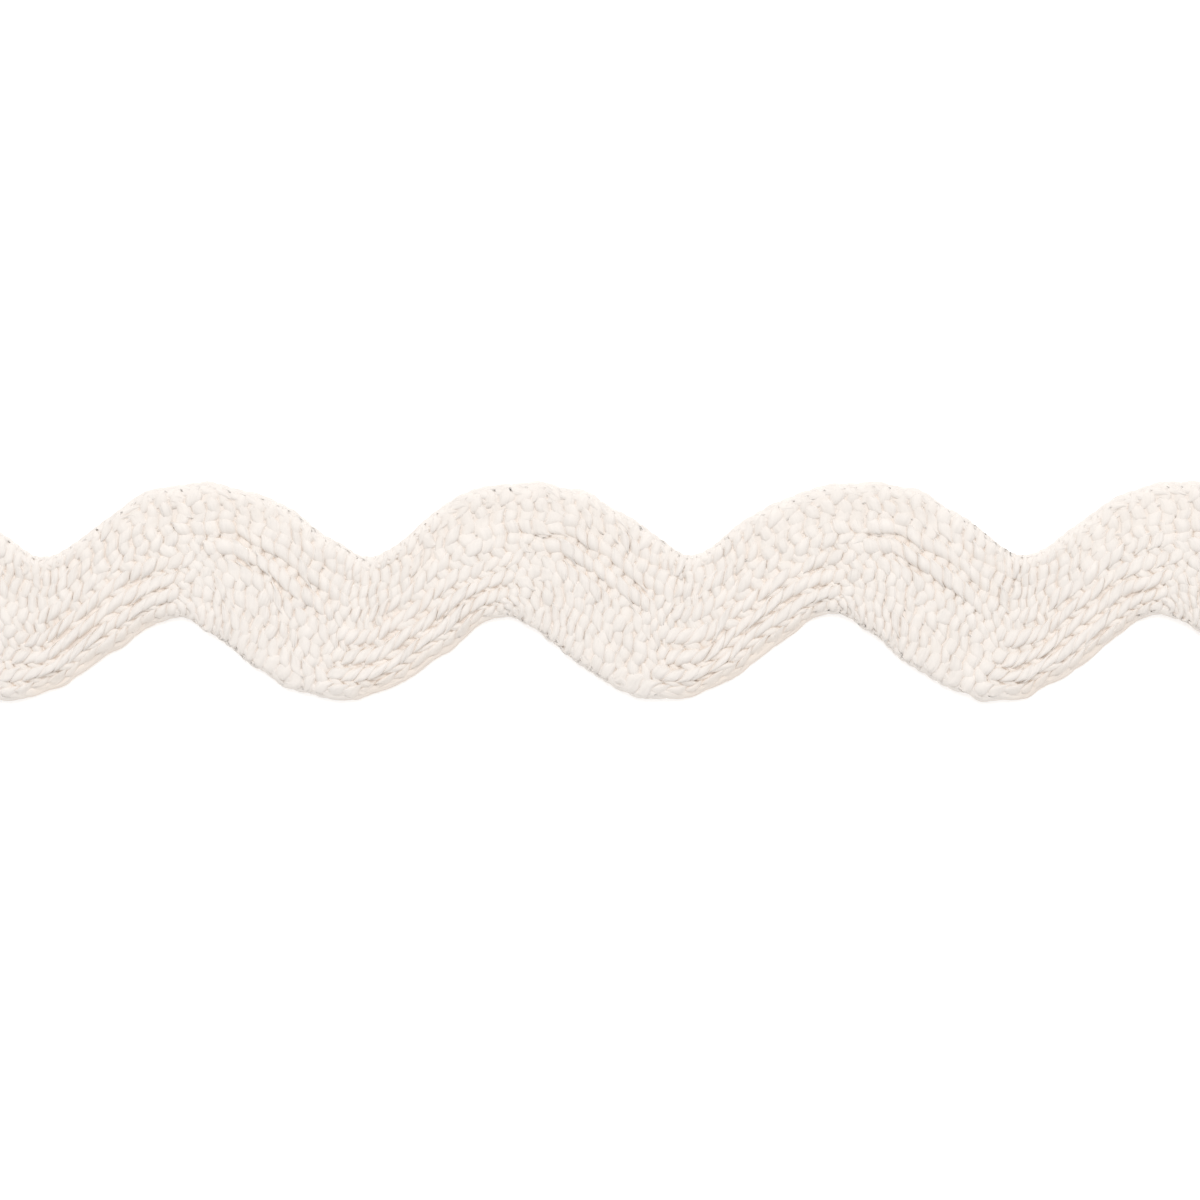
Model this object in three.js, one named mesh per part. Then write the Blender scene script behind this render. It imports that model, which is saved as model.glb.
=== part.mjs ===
import * as THREE from 'three';

// A cut length of wide ric rac: a flat cotton braid whose edges swing from side to side.
// Millimetres. The trim runs along X, its waves swing in Y, and its underside lies on Z = 0.
// The point (0, 0, 0) is the middle of the underside.

const LENGTH = 114;               // from cut end to cut end
const BODY_THICKNESS = 1.7;       // through the middle of the braid
const THICKNESS_SWING = 0.2;      // climbing parts are this much thicker, falling parts thinner
const CROWN = 0.15;               // the top face sinks this much from the middle to the shoulders
const EDGE_HEIGHT = 0.6;          // height of the outermost line of each edge
const EDGE_UNDERCUT = 0.4;        // the flat underside stops this far inside the edge
const SHOULDER = 1.1;             // the top rounds down to the edge over this distance
const CROSS_LEAN = 1.2;           // a line across the braid leans this far to +X at the upper edge
const LEAN_FADE = 4;              // the lean fades out over this distance before a cut end
const GROOVE_HALF_WIDTH = 0.42;   // of the grooves between the raised ropes
const GROOVE_FADE = 0.06;         // in waves: each groove dies out over this at both ends

// The upper edge, a row for each turn from left to right: valley, crest, valley and so on.
const UPPER_TURNS = [
  { x: -66.2, y: 2.6 },
  { x: -54.1, y: 7.9 },
  { x: -41.3, y: 2.4 },
  { x: -29.5, y: 7.9 },
  { x: -17.3, y: 2.4 },
  { x: -5.2, y: 8.0 },
  { x: 6.7, y: 2.7 },
  { x: 19.9, y: 8.0 },
  { x: 31.8, y: 2.5 },
  { x: 43.9, y: 8.0 },
  { x: 56.3, y: 2.6 },
  { x: 68.5, y: 8.0 },
];

// The lower edge, in the same way: inner crest, trough, inner crest and so on.
const LOWER_TURNS = [
  { x: -68.6, y: -8.0 },
  { x: -56.0, y: -1.8 },
  { x: -44.5, y: -8.0 },
  { x: -31.4, y: -1.8 },
  { x: -19.3, y: -8.0 },
  { x: -6.7, y: -1.8 },
  { x: 5.4, y: -8.0 },
  { x: 17.6, y: -1.6 },
  { x: 29.8, y: -8.0 },
  { x: 42.0, y: -1.6 },
  { x: 54.4, y: -8.0 },
  { x: 66.8, y: -1.8 },
];

// How soft the tight inner turns are, on their climbing and their falling side.
const UPPER_SOFTNESS = { climbing: 0.12, falling: 0.12 };
const LOWER_SOFTNESS = { climbing: 0.4, falling: 0.2 };

// The grooves of one wave. Places along it are in waves from the crest, and places across it
// run from -1 at the lower edge to 1 at the upper one: at the start, halfway and at the end.
const GROOVES = [
  { from: -0.52, to: 0.02, start: -0.86, middle: -0.68, end: -0.88, depth: 0.4 },
  { from: -0.58, to: 0.06, start: -0.52, middle: -0.42, end: -0.5, depth: 0.42 },
  { from: -0.5, to: 0.0, start: -0.38, middle: -0.1, end: -0.29, depth: 0.38 },
  { from: -0.02, to: 0.38, start: -0.28, middle: 0.13, end: 0.03, depth: 0.34 },
  { from: -0.44, to: -0.04, start: -0.02, middle: 0.14, end: 0.08, depth: 0.16 },
  { from: -0.12, to: 0.5, start: 0.27, middle: 0.42, end: 0.36, depth: 0.34 },
  { from: 0.28, to: 0.52, start: 0.69, middle: 0.67, end: 0.74, depth: 0.18 },
];

const STEPS_ALONG = 160;
const STEPS_ACROSS = 25;
const EDGE_CROWDING = 0.3;        // draws the lines of the top face closer together at the edges

const CREAM_COTTON = { color: 0xf1e9e1, roughness: 0.92, metalness: 0 };

// Height of an edge at x, between its last turn and its next one.
function edgeY(turns, softness, x) {
  const next = turns.findIndex((turn) => turn.x > x);
  const left = turns[next - 1];
  const right = turns[next];
  const leftIsInner = Math.abs(left.y) < Math.abs(right.y);
  const inner = leftIsInner ? left : right;
  const outer = leftIsInner ? right : left;
  const soft = right.y > left.y ? softness.climbing : softness.falling;
  const way = Math.abs(x - inner.x) / Math.abs(outer.x - inner.x);
  const swing = Math.hypot(Math.sin(way * Math.PI / 2), soft) - soft;
  return inner.y + (outer.y - inner.y) * swing / (Math.hypot(1, soft) - soft);
}

// Place in its wave: whole numbers at the crests, halves at the troughs.
function waveAt(x) {
  const middles = UPPER_TURNS.map((turn, row) => (turn.x + LOWER_TURNS[row].x) / 2);
  const next = middles.findIndex((middle) => middle > x);
  const way = (x - middles[next - 1]) / (middles[next] - middles[next - 1]);
  return (next - 1 + way - 1) / 2;
}

// Parabola through the three places across that a groove's row gives.
function grooveAcross(groove, way) {
  const bow = groove.middle - (groove.start + groove.end) / 2;
  return groove.start + (groove.end - groove.start) * way + 4 * bow * way * (1 - way);
}

// Depth of the grooves at a place in the wave and across the braid of the given half width.
function grooveDepth(wave, across, halfWidth) {
  let depth = 0;
  for (const groove of GROOVES) {
    const lap = Math.round(wave - (groove.from + groove.to) / 2);
    const place = wave - lap;
    const length = groove.to - groove.from;
    const inside = Math.min(place - groove.from, groove.to - place);
    if (inside <= 0) continue;
    const strength = THREE.MathUtils.smoothstep(inside, 0, GROOVE_FADE);
    const offset = (across - grooveAcross(groove, (place - groove.from) / length)) * halfWidth;
    depth += groove.depth * strength * Math.exp(-((offset / GROOVE_HALF_WIDTH) ** 2));
  }
  return depth;
}

// One section across the braid: the top face from edge to edge, then the flat underside.
function sectionPoints(middleX) {
  const toEnd = LENGTH / 2 - Math.abs(middleX);
  const lean = CROSS_LEAN * Math.min(1, toEnd / LEAN_FADE);
  const upper = edgeY(UPPER_TURNS, UPPER_SOFTNESS, middleX + lean);
  const lower = edgeY(LOWER_TURNS, LOWER_SOFTNESS, middleX - lean);
  const halfWidth = (upper - lower) / 2;
  const middleY = (upper + lower) / 2;
  const wave = waveAt(middleX);
  const body = BODY_THICKNESS - THICKNESS_SWING * Math.sin(wave * 2 * Math.PI);
  const place = (across, height) =>
    new THREE.Vector3(middleX + across * lean, middleY + across * halfWidth, height);

  const points = [];
  for (let step = 0; step <= STEPS_ACROSS; step += 1) {
    const even = 2 * step / STEPS_ACROSS - 1;
    const across = even * (1 + EDGE_CROWDING * (1 - even * even));
    const inFromEdge = Math.min(1, (1 - Math.abs(across)) * halfWidth / SHOULDER);
    const round = Math.sqrt(1 - (1 - inFromEdge) ** 2);
    const carved = grooveDepth(wave, across, halfWidth) * round;
    const top = body - CROWN * across * across;
    points.push(place(across, EDGE_HEIGHT + (top - EDGE_HEIGHT) * round - carved));
  }
  const underside = 1 - EDGE_UNDERCUT / halfWidth;
  points.push(place(underside, 0));
  points.push(place(-underside, 0));
  return points;
}

// Joins the sections into one closed skin and closes both cut ends.
function bandGeometry() {
  const positions = [];
  const indices = [];
  const ring = STEPS_ACROSS + 3;
  for (let step = 0; step <= STEPS_ALONG; step += 1) {
    const middleX = LENGTH * (step / STEPS_ALONG - 0.5);
    for (const point of sectionPoints(middleX)) positions.push(point.x, point.y, point.z);
  }
  for (let step = 0; step < STEPS_ALONG; step += 1) {
    for (let side = 0; side < ring; side += 1) {
      const here = step * ring + side;
      const beside = step * ring + (side + 1) % ring;
      indices.push(here, here + ring, beside);
      indices.push(beside, here + ring, beside + ring);
    }
  }
  const last = STEPS_ALONG * ring;
  const cutEnd = sectionPoints(-LENGTH / 2).map((point) => new THREE.Vector2(point.y, point.z));
  for (const [a, b, c] of THREE.ShapeUtils.triangulateShape(cutEnd, [])) {
    indices.push(c, b, a);
  }
  const farEnd = sectionPoints(LENGTH / 2).map((point) => new THREE.Vector2(point.y, point.z));
  for (const [a, b, c] of THREE.ShapeUtils.triangulateShape(farEnd, [])) {
    indices.push(last + a, last + b, last + c);
  }
  const geometry = new THREE.BufferGeometry();
  geometry.setAttribute('position', new THREE.Float32BufferAttribute(positions, 3));
  geometry.setIndex(indices);
  geometry.computeVertexNormals();
  return geometry;
}

function ricRacBand() {
  const band = new THREE.Mesh(bandGeometry(), new THREE.MeshStandardMaterial(CREAM_COTTON));
  band.name = 'ric_rac_band';
  return band;
}

const trim = new THREE.Group();
trim.name = 'ric_rac_trim';
trim.add(ricRacBand());

export default trim;
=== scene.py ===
import math

import bpy
import numpy as np
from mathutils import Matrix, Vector


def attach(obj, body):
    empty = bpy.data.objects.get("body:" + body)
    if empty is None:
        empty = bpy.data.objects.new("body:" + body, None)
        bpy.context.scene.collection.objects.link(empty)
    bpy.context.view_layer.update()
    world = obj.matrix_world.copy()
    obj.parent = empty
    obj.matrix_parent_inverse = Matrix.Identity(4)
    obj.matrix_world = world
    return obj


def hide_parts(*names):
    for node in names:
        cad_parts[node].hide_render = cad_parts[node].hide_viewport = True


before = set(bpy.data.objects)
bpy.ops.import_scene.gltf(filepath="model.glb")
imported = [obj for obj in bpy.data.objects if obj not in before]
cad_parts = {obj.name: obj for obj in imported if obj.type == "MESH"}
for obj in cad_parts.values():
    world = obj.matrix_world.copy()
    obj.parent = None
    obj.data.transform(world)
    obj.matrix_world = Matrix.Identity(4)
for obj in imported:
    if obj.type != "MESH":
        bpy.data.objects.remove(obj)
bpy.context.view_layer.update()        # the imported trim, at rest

print("frame loaded")

# The braid's plan, in millimetres: X along the trim, Y across it, underside on Z = 0
braid = {
    "length": 114.0,
    "halfWidth": 5.2,          # from the middle of the band to its edges
    "ends": 27,                # cotton ends, each crossing the band and coming back once a wave
    "middle": 0.84,            # height of the plane between upper and lower floats
    "lift": 0.36,              # how far a float stands above or below that plane
    "endHeight": 0.80,         # thickness of one end, seen from its side
    "swell": 0.95,             # an end is this much thicker where nothing presses on it
    "turnRadius": 0.9,         # of the round turns at the edges, in ends
    "squareness": 2.2,         # how flat a float runs before it dives
    "lean": 1.2,               # lines across the braid lean this far to +X at the upper edge
    "upperInset": 0.2,         # from the outline to the middle of the outermost end
    "lowerInset": 0.36,
    "shoulder": 0.9,           # the braid rounds down to its edges over this distance
    "step": (0.15, 1.05),      # but in a step, between these distances, to the low rim
    "edgeMiddle": 0.60,        # height of the outermost ends
    "lowRimMiddle": 0.45,      # and of those on the low rim
    "edgeRelief": 0.35,        # share of the relief that is left at the edges
    "straighten": 0.80,        # floats run more squarely across their row than their end does
    "straightenRopes": -0.35,  # but less so in the ropes
    "waves": (-0.25, 4.8),     # one end's way, a little longer than the trim
    "samplesPerFloat": 8,
    "bundles": 6,
    "cutBack": (0.1, 0.4),     # how far short of the cut the ends stop
    "seed": 27,
}
columns = (braid["ends"] - 1) / 2       # of floats, from edge to edge

# The two edges swing from each of these turns to the next
upperEdge = {
    "turns": np.array([        # valley, crest, valley and so on
        (-66.2, 2.6), (-54.1, 7.9), (-41.3, 2.4), (-29.5, 7.9), (-17.3, 2.4), (-5.2, 8.0),
        (6.7, 2.7), (19.9, 8.0), (31.8, 2.5), (43.9, 8.0), (56.3, 2.6), (68.5, 8.0),
    ]),
    "softness": {"climbing": 0.2, "falling": 0.2},        # of the inner turns
    "fullness": {"climbing": 0.08, "falling": 0.032},     # bulge, as a share of the rise
}
lowerEdge = {
    "turns": np.array([        # trough, inner crest, trough and so on
        (-68.6, -8.0), (-56.0, -1.8), (-44.5, -8.0), (-31.4, -1.8), (-19.3, -8.0), (-6.7, -1.8),
        (4.8, -8.0), (17.6, -1.6), (29.8, -8.0), (42.0, -1.6), (54.4, -8.0), (66.8, -1.8),
    ]),
    "softness": {"climbing": 0.4, "falling": 0.2},
    "fullness": {"climbing": 0, "falling": 0},
}


def edgeY(edge, x):
    turns = edge["turns"]
    row = np.clip(np.searchsorted(turns[:, 0], x, side="right") - 1, 0, len(turns) - 2)
    leftX, leftY = turns[row, 0], turns[row, 1]
    rightX, rightY = turns[row + 1, 0], turns[row + 1, 1]
    leftIsInner = np.abs(leftY) < np.abs(rightY)
    innerX = np.where(leftIsInner, leftX, rightX)
    innerY = np.where(leftIsInner, leftY, rightY)
    outerY = np.where(leftIsInner, rightY, leftY)
    climbs = rightY > leftY
    soft = np.where(climbs, edge["softness"]["climbing"], edge["softness"]["falling"])
    full = np.where(climbs, edge["fullness"]["climbing"], edge["fullness"]["falling"])
    way = np.abs(x - innerX) / (rightX - leftX)
    swing = (np.hypot(np.sin(way * np.pi / 2), soft) - soft) / (np.hypot(1, soft) - soft)
    swing = swing + full * np.sin(way * np.pi) ** 2
    return innerY + (outerY - innerY) * swing


turnMiddles = (upperEdge["turns"][:, 0] + lowerEdge["turns"][:, 0]) / 2
turnWaves = (np.arange(len(turnMiddles)) - 1) / 2       # whole at the crests, half at the troughs


# Hand-made unevenness: a few slow ripples that carry neighbouring ends along together
ripples = {
    "count": 12,
    "along": 0.07,             # how far they carry the ends
    "across": 0.07,
    "turns": (2, 8),           # per wave
    "rows": (-1.2, 1.2),       # per half width of the braid
    "seed": 5,
}
rippleRandom = np.random.default_rng(ripples["seed"])
rippleTurns = rippleRandom.uniform(*ripples["turns"], ripples["count"])
rippleRows = rippleRandom.uniform(*ripples["rows"], ripples["count"])
rippleStarts = rippleRandom.uniform(0, 2 * np.pi, (2, ripples["count"]))


def rippleSum(wave, across, starts):
    total = np.zeros_like(wave)
    for turns, rows, start in zip(rippleTurns, rippleRows, starts):
        total = total + np.sin(2 * np.pi * (turns * wave + rows * across) + start)
    return total / math.sqrt(ripples["count"] / 2)


def planPlace(wave, across, rippled=True):
    # Place in the plan from waves along the trim and -1 to 1 across it
    middleX = np.interp(wave, turnWaves, turnMiddles)
    upper = edgeY(upperEdge, middleX + braid["lean"]) - braid["upperInset"]
    lower = edgeY(lowerEdge, middleX - braid["lean"]) + braid["lowerInset"]
    x = middleX + across * braid["lean"]
    y = (upper + lower) / 2 + across * (upper - lower) / 2
    if rippled:
        x = x + ripples["along"] * rippleSum(wave, across, rippleStarts[0])
        y = y + ripples["across"] * rippleSum(wave, across, rippleStarts[1])
    return x, y


def smoothBand(value, start, end):
    # From 0 at the start to 1 at the end
    way = np.clip((value - start) / (end - start), 0, 1)
    return way * way * (3 - 2 * way)


def roundWave(values, wave):
    # Smooth curve through values that stand evenly around one wave, from trough to trough
    values = np.array(values)
    place = (wave + 0.5) % 1 * len(values)
    first = np.floor(place).astype(int)
    way = place - first
    before, here, after, beyond = (values[(first + step) % len(values)] for step in (-1, 0, 1, 2))
    cubic = way * (3 * (here - after) + beyond - before)
    square = way * (2 * before - 5 * here + 4 * after - beyond + cubic)
    return here + 0.5 * way * (after - before + square)


# How the rows of floats lean, in waves, and how far their columns drift up and down
rowLean = {
    "all": -0.045,             # how far every row leans back towards -X
    "sides": 0.050,            # and the rows on the climbing and falling parts, one way and the other
    "sideBow": 0.012,
    "crests": -0.024,
    "crestShift": 0.010,
    "drift": (-0.14, -0.20, -0.12, -0.06, -0.09, -0.14, 0.04, 0.09, 0.05, 0.0),
}


def placeOfCell(wave, across):
    # The rows fan out around the outside of each turn
    turn = 2 * np.pi * wave
    fanned = across * (rowLean["sides"] * np.sin(turn) + rowLean["all"])
    fanned = fanned + rowLean["sideBow"] * (1 - across * across) * np.sin(turn)
    fanned = fanned + (rowLean["crestShift"] + rowLean["crests"] * across) * np.cos(turn)
    drift = roundWave(rowLean["drift"], wave + fanned) * (1 - across) ** 1.5 * (1 + across)
    return wave + fanned, across + drift


# Where one set of ends rides high and makes ropes, and the other makes a ridge.
# Places along are in waves from the crest, and places across run from -1 to 1
ropes = {
    "start": (-0.60, -0.46),
    "stop": (-0.06, 0.05),
    "nextStart": (0.40, 0.54),
    "fainter": ((0.3, -0.5, -0.2), (0.45, -0.1, 0.15), (0.2, 0.2, 0.4)),    # share, from, to across
    "lift": 0.19,              # share by which the ends that make ropes stand higher
    "sink": 0.44,              # and by which the ends between the ropes lie lower
    "reach": 0.70,             # ropes cover more of the ends between them
    "round": 0.7,              # and are rounder than the rest
    "lessSwell": 0.75,         # ends between ropes are less swollen
    "cover": 0.18,             # ends in a rope press closer together
}
ridge = {
    "start": (0.0, 0.12),
    "stop": (0.36, 0.48),
    "below": 0.1,              # how strong it is under its lower side
    "rise": 0.72,              # and how much stronger above
    "lowerSide": (-0.15, 0.1),
    "fades": 0.75,
    "upperSide": (0.42, 0.6),
}


def ropeShare(wave, across):
    # 1 where the climbing ends make ropes, -1 where the falling ends make a ridge
    place = wave - np.round(wave + 0.02)
    climbing = smoothBand(place, *ropes["start"]) * (1 - smoothBand(place, *ropes["stop"]))
    climbing = climbing + smoothBand(place, *ropes["nextStart"])
    strength = 1
    for share, low, high in ropes["fainter"]:
        strength = strength - share * smoothBand(across, low, high)
    climbing = climbing * strength
    falling = smoothBand(place, *ridge["start"]) * (1 - smoothBand(place, *ridge["stop"]))
    falling = falling * (ridge["below"] + ridge["rise"] * smoothBand(across, *ridge["lowerSide"]))
    falling = falling * (1 - ridge["fades"] * smoothBand(across, *ridge["upperSide"]))
    return np.clip(climbing, 0, 1) - falling


# Grooves run along the wave; start, middle and end are their places across
grooves = [
    {"from": -0.08, "to": 0.14, "start": 0.32, "middle": 0.25, "end": 0.39, "depth": 0.20},
    {"from": 0.08, "to": 0.48, "start": 0.36, "middle": 0.41, "end": 0.33, "depth": 0.14},
    {"from": 0.03, "to": 0.38, "start": 0.02, "middle": 0.12, "end": 0.03, "depth": 0.06},
    {"from": 0.28, "to": 0.52, "start": 0.70, "middle": 0.68, "end": 0.72, "depth": 0.2},
    {"from": -0.50, "to": -0.34, "start": 0.86, "middle": 0.80, "end": 0.72, "depth": 0.26},
    {"from": -0.47, "to": -0.25, "start": 0.48, "middle": 0.38, "end": 0.50, "depth": 0.12},
]
grooveSection = {"halfWidth": 0.24, "fade": 0.05}


def grooveDepth(wave, across):
    depth = np.zeros_like(wave)
    for groove in grooves:
        place = wave - np.round(wave - (groove["from"] + groove["to"]) / 2)
        way = np.clip((place - groove["from"]) / (groove["to"] - groove["from"]), 0, 1)
        bow = groove["middle"] - (groove["start"] + groove["end"]) / 2
        middle = groove["start"] + (groove["end"] - groove["start"]) * way + 4 * bow * way * (1 - way)
        inside = np.minimum(place - groove["from"], groove["to"] - place)
        strength = smoothBand(inside, 0, grooveSection["fade"])
        offset = (across - middle) * braid["halfWidth"] / grooveSection["halfWidth"]
        depth = depth + groove["depth"] * strength * np.exp(-offset * offset)
    return depth


# The flattest part, inside the upper edge of the crests, and the rim below the climbing parts
pressedPart = {"share": 0.25, "across": (0.3, 0.6), "middle": -0.06, "along": (0.22, 0.40)}
lowRimPart = {"start": (-0.52, -0.40), "stop": (-0.10, 0.02)}


def pressedShare(wave, across):
    place = np.abs(wave - np.round(wave) - pressedPart["middle"])
    return smoothBand(across, *pressedPart["across"]) * (1 - smoothBand(place, *pressedPart["along"]))


def lowRim(wave, across):
    # 1 along the lower edge of the climbing parts
    place = wave - np.round(wave + 0.25)
    along = smoothBand(place, *lowRimPart["start"]) * (1 - smoothBand(place, *lowRimPart["stop"]))
    return along * (across < 0)


def edgeRounding(wave, across):
    # 0 at the edges and 1 inside; below the climbing parts it drops in a step to a low rim
    distance = (1 - np.abs(across)) * braid["halfWidth"]
    rounded = np.sqrt(1 - (1 - np.clip(distance / braid["shoulder"], 0, 1)) ** 2)
    stepped = smoothBand(distance, *braid["step"])
    return rounded + (stepped - rounded) * lowRim(wave, across)


def reliefShare(rounding):
    return braid["edgeRelief"] + (1 - braid["edgeRelief"]) * rounding


def middleHeight(wave, across, rounding):
    # Height of the plane between upper and lower floats
    edge = braid["edgeMiddle"] + (braid["lowRimMiddle"] - braid["edgeMiddle"]) * lowRim(wave, across)
    return edge + (braid["middle"] - edge) * rounding


def crossing(phase):
    # One end's way across: up from the lower edge and back, with a round turn at each edge
    turnRadius = braid["turnRadius"] / braid["ends"]
    fromTurn = np.abs(phase - np.round(phase * 2) / 2)
    straight = 4 * fromTurn
    rounded = 2 * turnRadius + 2 * fromTurn * fromTurn / turnRadius
    fromEdge = np.where(fromTurn < turnRadius, rounded, straight) - 2 * turnRadius
    fromEdge = fromEdge / (1 - 2 * turnRadius)
    atUpperEdge = np.round(phase * 2) % 2 == 1
    return np.where(atUpperEdge, 1 - fromEdge, fromEdge - 1)


# Section of one end, and how it narrows towards the places where it dives
section = {
    "sides": 12,
    "halfWidth": 0.56,         # in shares of the distance to the next end of the same set
    "plumpness": 0.75,
    "shorter": 0.28,           # its sides dive this much sooner than its middle
    "shorterInRope": 0.6,
    "turnHalfWidth": 0.45,     # in the turns, in millimetres
    "turnHeight": 1.2,
    "turnLength": 1.35,        # in ends, to each side
    "lowRimThinner": 0.45,
    "plies": 3,
    "plyDepth": 0.07,
    "plyTurns": 9,             # twists in one wave
}


def endCourse(index):
    # One end's way through the braid, step by step. Phase counts waves from a lower turn,
    # and column counts floats from the upper edge
    ends = braid["ends"]
    steps = np.arange(*braid["waves"], 1 / (ends * braid["samplesPerFloat"]))
    phase = (steps + index / ends)[:, None]
    across = crossing(phase)
    column = ((1 - across) * ends - 1) / 4
    fromTurn = np.abs(phase - np.round(phase * 2) / 2) * ends
    return {
        "phase": phase,
        "climbing": np.where((phase % 1) < 0.5, 1.0, -1.0),
        "across": across,
        "column": column,
        "toTurn": np.minimum(column, columns - column),
        "body": np.sin(np.pi / 2 * smoothBand(fromTurn, 0, section["turnLength"])),     # 0 in the turns
    }


# How single floats differ, in millimetres and shares
uneven = {"height": 0.06, "sideways": 0.05, "width": 0.10, "tilt": 0.16, "length": 0.28, "turn": 0.10}


def unevenFloats(index, course):
    # One random value of each kind for each float of an end, and for each of its turns
    random = np.random.default_rng([braid["seed"], index])
    phase = course["phase"]
    crossings = np.floor(phase * 2).astype(int)
    inCrossing = np.round((course["column"] - 1 + course["climbing"] / 2) / 2).astype(int)
    number = crossings * 9 + 20 + inCrossing      # nine numbers are enough for one crossing
    floats = {}
    for kind in ("width", "length", "tilt", "height", "sideways"):
        values = random.normal(0, uneven[kind], 160)
        floats[kind] = np.clip(values, -2 * uneven[kind], 2 * uneven[kind])[number]

    # some ends stand out further than others where they turn at the lower edge
    turn = np.round(phase * 2).astype(int)
    values = random.normal(0, uneven["turn"], 20)
    values = np.clip(values, -1.6 * uneven["turn"], 1.2 * uneven["turn"])
    floats["turn"] = values[turn + 2] * np.where(turn % 2 == 1, 0.3, -1.0)
    floats["twist"] = random.uniform(0, 2 * np.pi)
    return floats


def floatPlaces(index, course, floats, place):
    # Waves along and places across for each point of the section
    ends = braid["ends"]
    phase, across, climbing = course["phase"], course["across"], course["climbing"]
    covering = ropeShare(*placeOfCell(phase - index / ends, across)) * climbing
    wider = 1 + floats["width"] + ropes["cover"] * np.clip(covering, 0, 1)
    wave = phase - (index + place * section["halfWidth"] * wider * climbing * course["body"]) / ends

    # floats run more squarely across their rows than the whole end does
    inRope = np.clip(ropeShare(*placeOfCell(wave, across)), 0, 1)
    straighten = braid["straighten"] + braid["straightenRopes"] * inRope
    sway = np.arcsin(0.96 * np.cos(np.pi * np.clip(course["column"], 0, columns))) / (3 * ends)
    return placeOfCell(wave - straighten * sway, across)


def overUnder(course, floats, place, share):
    # From -1, under the other ends, to 1, over them
    toTurn = course["toTurn"]
    swing = np.where(toTurn > 0, np.sin(np.pi * course["column"]) * course["climbing"], 0)
    shorter = section["shorter"] + section["shorterInRope"] * np.clip(share, 0, 1)
    swing = swing + (floats["length"] - shorter * place ** 2) * course["body"]
    squareness = braid["squareness"] - ropes["round"] * np.abs(share)
    over = np.tanh(squareness * (swing + ropes["reach"] * share)) / np.tanh(squareness)
    return np.where(over < 0, over * smoothBand(toTurn, 0.1, 1.0), over)      # the rim stays full


def endHeights(course, floats, place, placed, across):
    # Height of the middle of the section above the table, and the section's own height
    share = ropeShare(placed, across) * course["climbing"] * smoothBand(course["toTurn"], 0, 0.5)
    over = overUnder(course, floats, place, share)
    onTop = np.clip(over, 0, 1)
    crimp = 1 + onTop * np.where(share > 0, ropes["lift"], ropes["sink"]) * share
    rounding = edgeRounding(placed, across)
    pressed = pressedPart["share"] * pressedShare(placed, across)
    sink = grooveDepth(placed, across) * (0.5 + 0.5 * onTop) * smoothBand(over, -0.6, -0.2)
    lift = braid["lift"] * (1 - pressed)
    z = middleHeight(placed, across, rounding) + (lift * over * crimp - sink) * reliefShare(rounding)
    z = z + (floats["height"] + floats["tilt"] * place * 0.5) * onTop
    swell = braid["swell"] * (1 - ropes["lessSwell"] * np.abs(share)) * (1 - 0.5 * pressed)
    swell = swell * rounding * course["body"]
    height = braid["endHeight"] * (1 + swell * (1 - over * over))
    turnHeight = section["turnHeight"] - section["lowRimThinner"] * lowRim(placed, across)
    return z, height * (turnHeight + (1 - turnHeight) * course["body"]), onTop


# Painted shade: how much warmer and darker the colour turns in the hollows between the ends, and on the
# low rim, where shade falls
paintedShadeAmount = {"hollows": 0.6, "fullDepth": 0.7, "lowRim": 0.4}


def paintedShadeShare(z, placed, across):
    rounding = edgeRounding(placed, across)
    rim = lowRim(placed, across)
    surface = middleHeight(placed, across, rounding) + braid["lift"] * reliefShare(rounding)
    inside = np.clip((surface + braid["endHeight"] / 2 - z) / paintedShadeAmount["fullDepth"], 0, 1)
    belowMiddle = 0.5 + 0.5 * np.maximum(rounding, rim)
    inside = paintedShadeAmount["hollows"] * inside * np.where(across > 0, rounding ** 2, belowMiddle)
    # the low rim below the climbing parts gets more painted shade
    return inside + paintedShadeAmount["lowRim"] * rim * (1 - rounding)


def sweptEnd(index):
    # Rings along one end; every ring lies along the row that the end passes under.
    # Place runs from -1 to 1 across the section
    angle = np.pi / 2 + np.linspace(0, 2 * np.pi, section["sides"], endpoint=False)[None, :]
    place = np.sign(np.cos(angle)) * np.abs(np.cos(angle)) ** section["plumpness"]
    course = endCourse(index)
    floats = unevenFloats(index, course)
    placed, across = floatPlaces(index, course, floats, place)
    z, height, onTop = endHeights(course, floats, place, placed, across)
    x, y = planPlace(placed, across)
    x = x + floats["sideways"] * onTop
    turning = np.sqrt(1 - course["body"] * course["body"])
    y = y + (place * section["turnHalfWidth"] + floats["turn"]) * turning
    line = np.stack(np.broadcast_arrays(x, y, z), axis=-1)
    tangent = np.gradient(line, axis=0)
    tangent /= np.linalg.norm(tangent, axis=-1, keepdims=True)
    side = np.cross((0, 0, 1), tangent)
    rise = np.cross(tangent, side / np.linalg.norm(side, axis=-1, keepdims=True))
    twist = angle - 2 * np.pi * section["plyTurns"] * course["phase"] + floats["twist"]
    plied = 1 + section["plyDepth"] * np.cos(section["plies"] * twist)
    rings = line + rise * (np.sin(angle) * plied * height / 2)[:, :, None]
    rings[:, :, 2] = np.maximum(rings[:, :, 2], 0.0)      # pressed flat against the table
    return rings, paintedShadeShare(rings[:, :, 2], placed, across)


def sweptFaces(count, sides, offset):
    row = np.arange(count - 1)[:, None] * sides
    column = np.arange(sides)[None, :]
    nextColumn = (column + 1) % sides
    corners = (row + column, row + nextColumn, row + sides + nextColumn, row + sides + column)
    return np.stack(corners, axis=-1).reshape(-1, 4)[:, ::-1] + offset


def sweptCaps(count, sides, offset):
    first = [offset + side for side in range(sides)]
    last = [offset + (count - 1) * sides + side for side in reversed(range(sides))]
    return [first, last]


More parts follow.
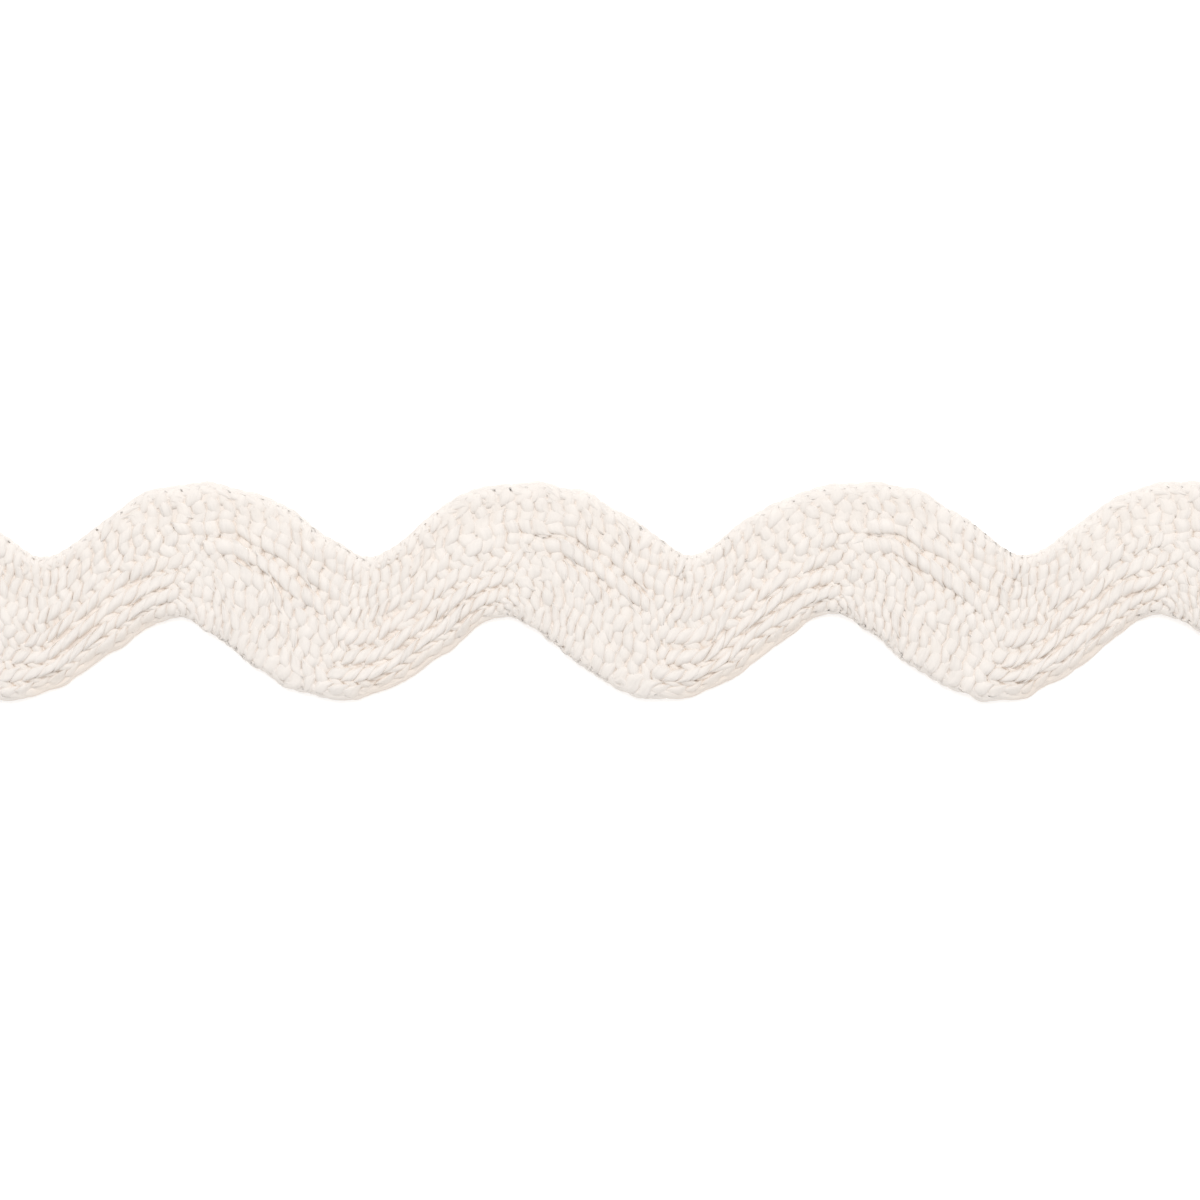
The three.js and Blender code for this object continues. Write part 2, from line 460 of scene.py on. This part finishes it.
def meshFromArrays(name, points, quads, caps, uvs, inside):
    mesh = bpy.data.meshes.new(name)
    faces = [tuple(face) for face in quads.tolist()] + [tuple(face) for face in caps]
    mesh.from_pydata((points * 0.001).tolist(), [], faces)
    mesh.update()
    layer = mesh.uv_layers.new(name="alongEnd")
    corners = np.zeros(len(mesh.loops), dtype=np.int64)
    mesh.loops.foreach_get("vertex_index", corners)
    layer.data.foreach_set("uv", uvs[corners].astype(np.float32).ravel())
    # the inside attribute holds each point's share of painted shade
    depth = mesh.attributes.new("inside", "FLOAT", "POINT")
    depth.data.foreach_set("value", inside.astype(np.float32))
    mesh.polygons.foreach_set("use_smooth", np.ones(len(mesh.polygons), dtype=bool))
    piece = bpy.data.objects.new(name, mesh)
    bpy.context.scene.collection.objects.link(piece)
    return piece


def braidBundle(number):
    # A sixth of the ends, joined into one mesh
    points, quads, caps, uvs, paintedShadeShares = [], [], [], [], []
    offset = 0
    sides = section["sides"]
    halfLength = braid["length"] / 2
    cuts = np.random.default_rng([braid["seed"], 500 + number])
    for index in range(number, braid["ends"], braid["bundles"]):
        # each end's rings, and the share of painted shade at each of their points
        rings, inside = sweptEnd(index)
        middleX = rings[:, :, 0].mean(axis=1)
        keep = np.abs(middleX) < halfLength - cuts.uniform(*braid["cutBack"])
        rings, inside = rings[keep], inside[keep]
        rings[:, :, 0] = np.clip(rings[:, :, 0], -halfLength, halfLength)
        count = len(rings)
        quads.append(sweptFaces(count, sides, offset))
        caps += sweptCaps(count, sides, offset)
        steps = np.linalg.norm(np.diff(rings.mean(axis=1), axis=0), axis=1)
        along = np.concatenate([[0], np.cumsum(steps)])
        around = np.minimum(np.arange(sides), sides - np.arange(sides)) / sides + index
        uv = np.stack(np.broadcast_arrays(around[None, :], along[:, None]), axis=-1)
        uvs.append(uv.reshape(-1, 2))
        points.append(rings.reshape(-1, 3))
        paintedShadeShares.append(inside.ravel())
        offset += count * sides
    return meshFromArrays(f"cotton_ends_{number + 1}", np.concatenate(points), np.concatenate(quads),
                          caps, np.concatenate(uvs), np.concatenate(paintedShadeShares))


# Thin ground inside the braid, which closes the pinholes between the ends; it stands for the cotton below
# and is coloured a little darker and warmer than the ends, as painted shade in the gaps
ground = {
    "inset": 0.25,             # from the middles of the outermost ends
    "lowRimInset": 0.2,        # and this much more along the low rim
    "endInset": 0.4,
    "height": 0.98,
    "lowest": 0.15,
    "ropeSink": 0.2,
    "deepestSink": 0.4,
    "stepsAlong": 420,
    "stepsAcross": 32,
}


def braidGround():
    endX = braid["length"] / 2 - ground["endInset"]
    wave = np.interp(np.linspace(-endX, endX, ground["stepsAlong"]), turnMiddles, turnWaves)
    wave, across = np.meshgrid(wave, np.linspace(-1, 1, ground["stepsAcross"]), indexing="ij")
    inset = ground["inset"] + ground["lowRimInset"] * lowRim(wave, across)
    across = across * (1 - inset / braid["halfWidth"])
    x, y = planPlace(wave, across, rippled=False)
    x = np.clip(x, -endX, endX)
    rounding = edgeRounding(wave, across)
    middle = middleHeight(wave, across, rounding)
    half = ground["height"] / 2 * (0.5 + 0.5 * rounding)
    sink = grooveDepth(wave, across) + ground["ropeSink"] * np.abs(ropeShare(wave, across))
    sink = np.minimum(sink, ground["deepestSink"])
    top = np.stack([x, y, middle + half - sink], axis=-1)
    bottom = np.stack([x, y, np.maximum(middle - half, ground["lowest"])], axis=-1)
    rings = np.concatenate([top, bottom[:, ::-1]], axis=1)
    count, sides = rings.shape[:2]
    points = rings.reshape(-1, 3)
    return meshFromArrays("braid_ground", points, sweptFaces(count, sides, 0), sweptCaps(count, sides, 0),
                          points[:, :2], np.ones(count * sides))


# Undyed cotton, softly spun
cotton = {
    "colour": (0.866, 0.811, 0.763),
    "darker": 0.955,           # share of that colour in the darkest fibres
    "darkerRange": (0.3, 0.6),
    # painted shade: the darker, warmer colour that the hollows and the low rim turn towards
    "paintedShadeColour": (0.850, 0.744, 0.650),
    "roughness": 0.85,
    "sheen": 0.15,
    "specular": 0.25,
    "filaments": (9.0, 0.55, 1.0),       # fine lines around one end, and how often they change along it
    "filamentScale": 1.6,
    "filamentDetail": 3.0,
    "filamentDepth": 0.16,
    "filamentStrength": 0.6,
    "mottle": 0.02,            # how unevenly the undyed fibre takes the light
    "mottleScale": 900,
    "mottleDetail": 4.0,
    "mottleRange": (0.35, 0.65),
}
# the ground's colour, a little darker and warmer than the ends: painted shade in the gaps between them
cottonInsidePaintedShade = {"colour": (0.866, 0.790, 0.728), "darker": 0.93, "roughness": 0.95, "fibreScale": 3000}


def newMaterial(name, roughness):
    material = bpy.data.materials.new(name)
    material.use_nodes = True
    shader = material.node_tree.nodes["Principled BSDF"]
    shader.inputs["Roughness"].default_value = roughness
    return material, shader


def addNode(material, kind, values):
    node = material.node_tree.nodes.new(kind)
    for socket, value in values.items():
        node.inputs[socket].default_value = value
    return node


def addTint(material, colour, darker, start=0.0, end=1.0):
    tint = material.node_tree.nodes.new("ShaderNodeValToRGB")
    darkStop, lightStop = tint.color_ramp.elements
    darkStop.position = start
    lightStop.position = end
    darkStop.color = (*[value * darker for value in colour], 1)
    lightStop.color = (*colour, 1)
    return tint


def cottonMaterial():
    material, shader = newMaterial("undyedCotton", cotton["roughness"])
    links = material.node_tree.links
    shader.inputs["Sheen Weight"].default_value = cotton["sheen"]
    shader.inputs["Specular IOR Level"].default_value = cotton["specular"]

    # fine filaments along each end
    uvMap = material.node_tree.nodes.new("ShaderNodeUVMap")
    uvMap.uv_map = "alongEnd"
    stretch = addNode(material, "ShaderNodeMapping", {"Scale": cotton["filaments"]})
    filaments = addNode(material, "ShaderNodeTexNoise", {
        "Scale": cotton["filamentScale"], "Detail": cotton["filamentDetail"]})
    bump = addNode(material, "ShaderNodeBump", {
        "Strength": cotton["filamentStrength"], "Distance": cotton["filamentDepth"] * 0.001})
    tint = addTint(material, cotton["colour"], cotton["darker"], *cotton["darkerRange"])
    links.new(uvMap.outputs["UV"], stretch.inputs["Vector"])
    links.new(stretch.outputs["Vector"], filaments.inputs["Vector"])
    links.new(filaments.outputs["Fac"], bump.inputs["Height"])
    links.new(bump.outputs["Normal"], shader.inputs["Normal"])
    links.new(filaments.outputs["Fac"], tint.inputs["Fac"])

    # painted shade: a darker, warmer colour in the hollows and on the low rim, mixed in by the inside
    # attribute
    depth = material.node_tree.nodes.new("ShaderNodeAttribute")
    depth.attribute_name = "inside"
    warmer = material.node_tree.nodes.new("ShaderNodeMix")
    warmer.data_type = "RGBA"
    warmer.inputs["B"].default_value = (*cotton["paintedShadeColour"], 1)
    links.new(depth.outputs["Fac"], warmer.inputs["Factor"])
    links.new(tint.outputs["Color"], warmer.inputs["A"])

    # a slight mottle over everything
    place = material.node_tree.nodes.new("ShaderNodeTexCoord")
    mottle = addNode(material, "ShaderNodeTexNoise", {
        "Scale": cotton["mottleScale"], "Detail": cotton["mottleDetail"]})
    mottleRange = addNode(material, "ShaderNodeMapRange", {
        "From Min": cotton["mottleRange"][0], "From Max": cotton["mottleRange"][1],
        "To Min": 1 - cotton["mottle"], "To Max": 1 + cotton["mottle"]})
    mottled = material.node_tree.nodes.new("ShaderNodeVectorMath")
    mottled.operation = "SCALE"
    links.new(place.outputs["Object"], mottle.inputs["Vector"])
    links.new(mottle.outputs["Fac"], mottleRange.inputs["Value"])
    links.new(warmer.outputs["Result"], mottled.inputs[0])
    links.new(mottleRange.outputs["Result"], mottled.inputs["Scale"])
    links.new(mottled.outputs["Vector"], shader.inputs["Base Color"])
    return material


def groundMaterial():
    material, shader = newMaterial("cottonInsidePaintedShade", cottonInsidePaintedShade["roughness"])
    links = material.node_tree.links
    place = material.node_tree.nodes.new("ShaderNodeTexCoord")
    fibres = addNode(material, "ShaderNodeTexNoise", {"Scale": cottonInsidePaintedShade["fibreScale"]})
    tint = addTint(material, cottonInsidePaintedShade["colour"], cottonInsidePaintedShade["darker"])
    links.new(place.outputs["Object"], fibres.inputs["Vector"])
    links.new(fibres.outputs["Fac"], tint.inputs["Fac"])
    links.new(tint.outputs["Color"], shader.inputs["Base Color"])
    return material


yarnCotton = cottonMaterial()
for number in range(braid["bundles"]):
    bundle = braidBundle(number)
    bundle.data.materials.append(yarnCotton)
    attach(bundle, "root")
print("ends braided")

braidGroundPiece = braidGround()
braidGroundPiece.data.materials.append(groundMaterial())
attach(braidGroundPiece, "root")
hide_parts("ric_rac_band")
print("ground laid")

# The photograph looks straight down on the trim
view = {
    "frameWidth": 0.0893,      # what the picture's 1200 pixels cover
    "centre": (0.0, -0.0006),
    "trimTop": 0.0015,
    "lens": 100.0,
    "sensor": 36.0,
}


def addCamera():
    distance = view["frameWidth"] * view["lens"] / view["sensor"]
    data = bpy.data.cameras.new("viewFromAbove")
    data.lens = view["lens"]
    data.sensor_width = view["sensor"]
    data.clip_start = 0.01
    data.clip_end = 10
    camera = bpy.data.objects.new("viewFromAbove", data)
    camera.location = (*view["centre"], distance + view["trimTop"])
    bpy.context.scene.collection.objects.link(camera)
    bpy.context.scene.camera = camera


studio = {
    "tableSize": 4.0,
    "tableColour": (0.95, 0.95, 0.95),
    "tableRoughness": 0.9,
    "tableGlow": 0.26,         # the table is lit from below, as for cut-out pictures
    "keyPlace": (0.0, 0.34, 0.66),
    "keySize": (0.6, 0.4),
    "keyPower": 2.6,
    "fillStrength": 0.74,
}


def addTable():
    bpy.ops.object.select_all(action="DESELECT")
    bpy.ops.mesh.primitive_plane_add(size=studio["tableSize"], location=(0, 0, 0))
    table = bpy.context.object
    table.name = "paleTable"
    material, shader = newMaterial("paleTableTop", studio["tableRoughness"])
    shader.inputs["Base Color"].default_value = (*studio["tableColour"], 1)
    shader.inputs["Emission Color"].default_value = (1, 1, 1, 1)
    shader.inputs["Emission Strength"].default_value = studio["tableGlow"]
    table.data.materials.append(material)


def addSoftbox(name, place, size, power):
    data = bpy.data.lights.new(name, "AREA")
    data.shape = "RECTANGLE"
    data.size, data.size_y = size
    data.energy = power
    light = bpy.data.objects.new(name, data)
    light.location = place
    light.rotation_euler = (-Vector(place)).to_track_quat("-Z", "Y").to_euler()
    bpy.context.scene.collection.objects.link(light)


def addStudio():
    addTable()
    addSoftbox("keySoftbox", studio["keyPlace"], studio["keySize"], studio["keyPower"])
    world = bpy.data.worlds.new("studioWhite")
    world.use_nodes = True
    world.node_tree.nodes["Background"].inputs["Color"].default_value = (1, 1, 1, 1)
    world.node_tree.nodes["Background"].inputs["Strength"].default_value = studio["fillStrength"]
    bpy.context.scene.world = world
    bpy.context.scene.view_settings.view_transform = "Standard"


addCamera()
addStudio()
print("studio set")
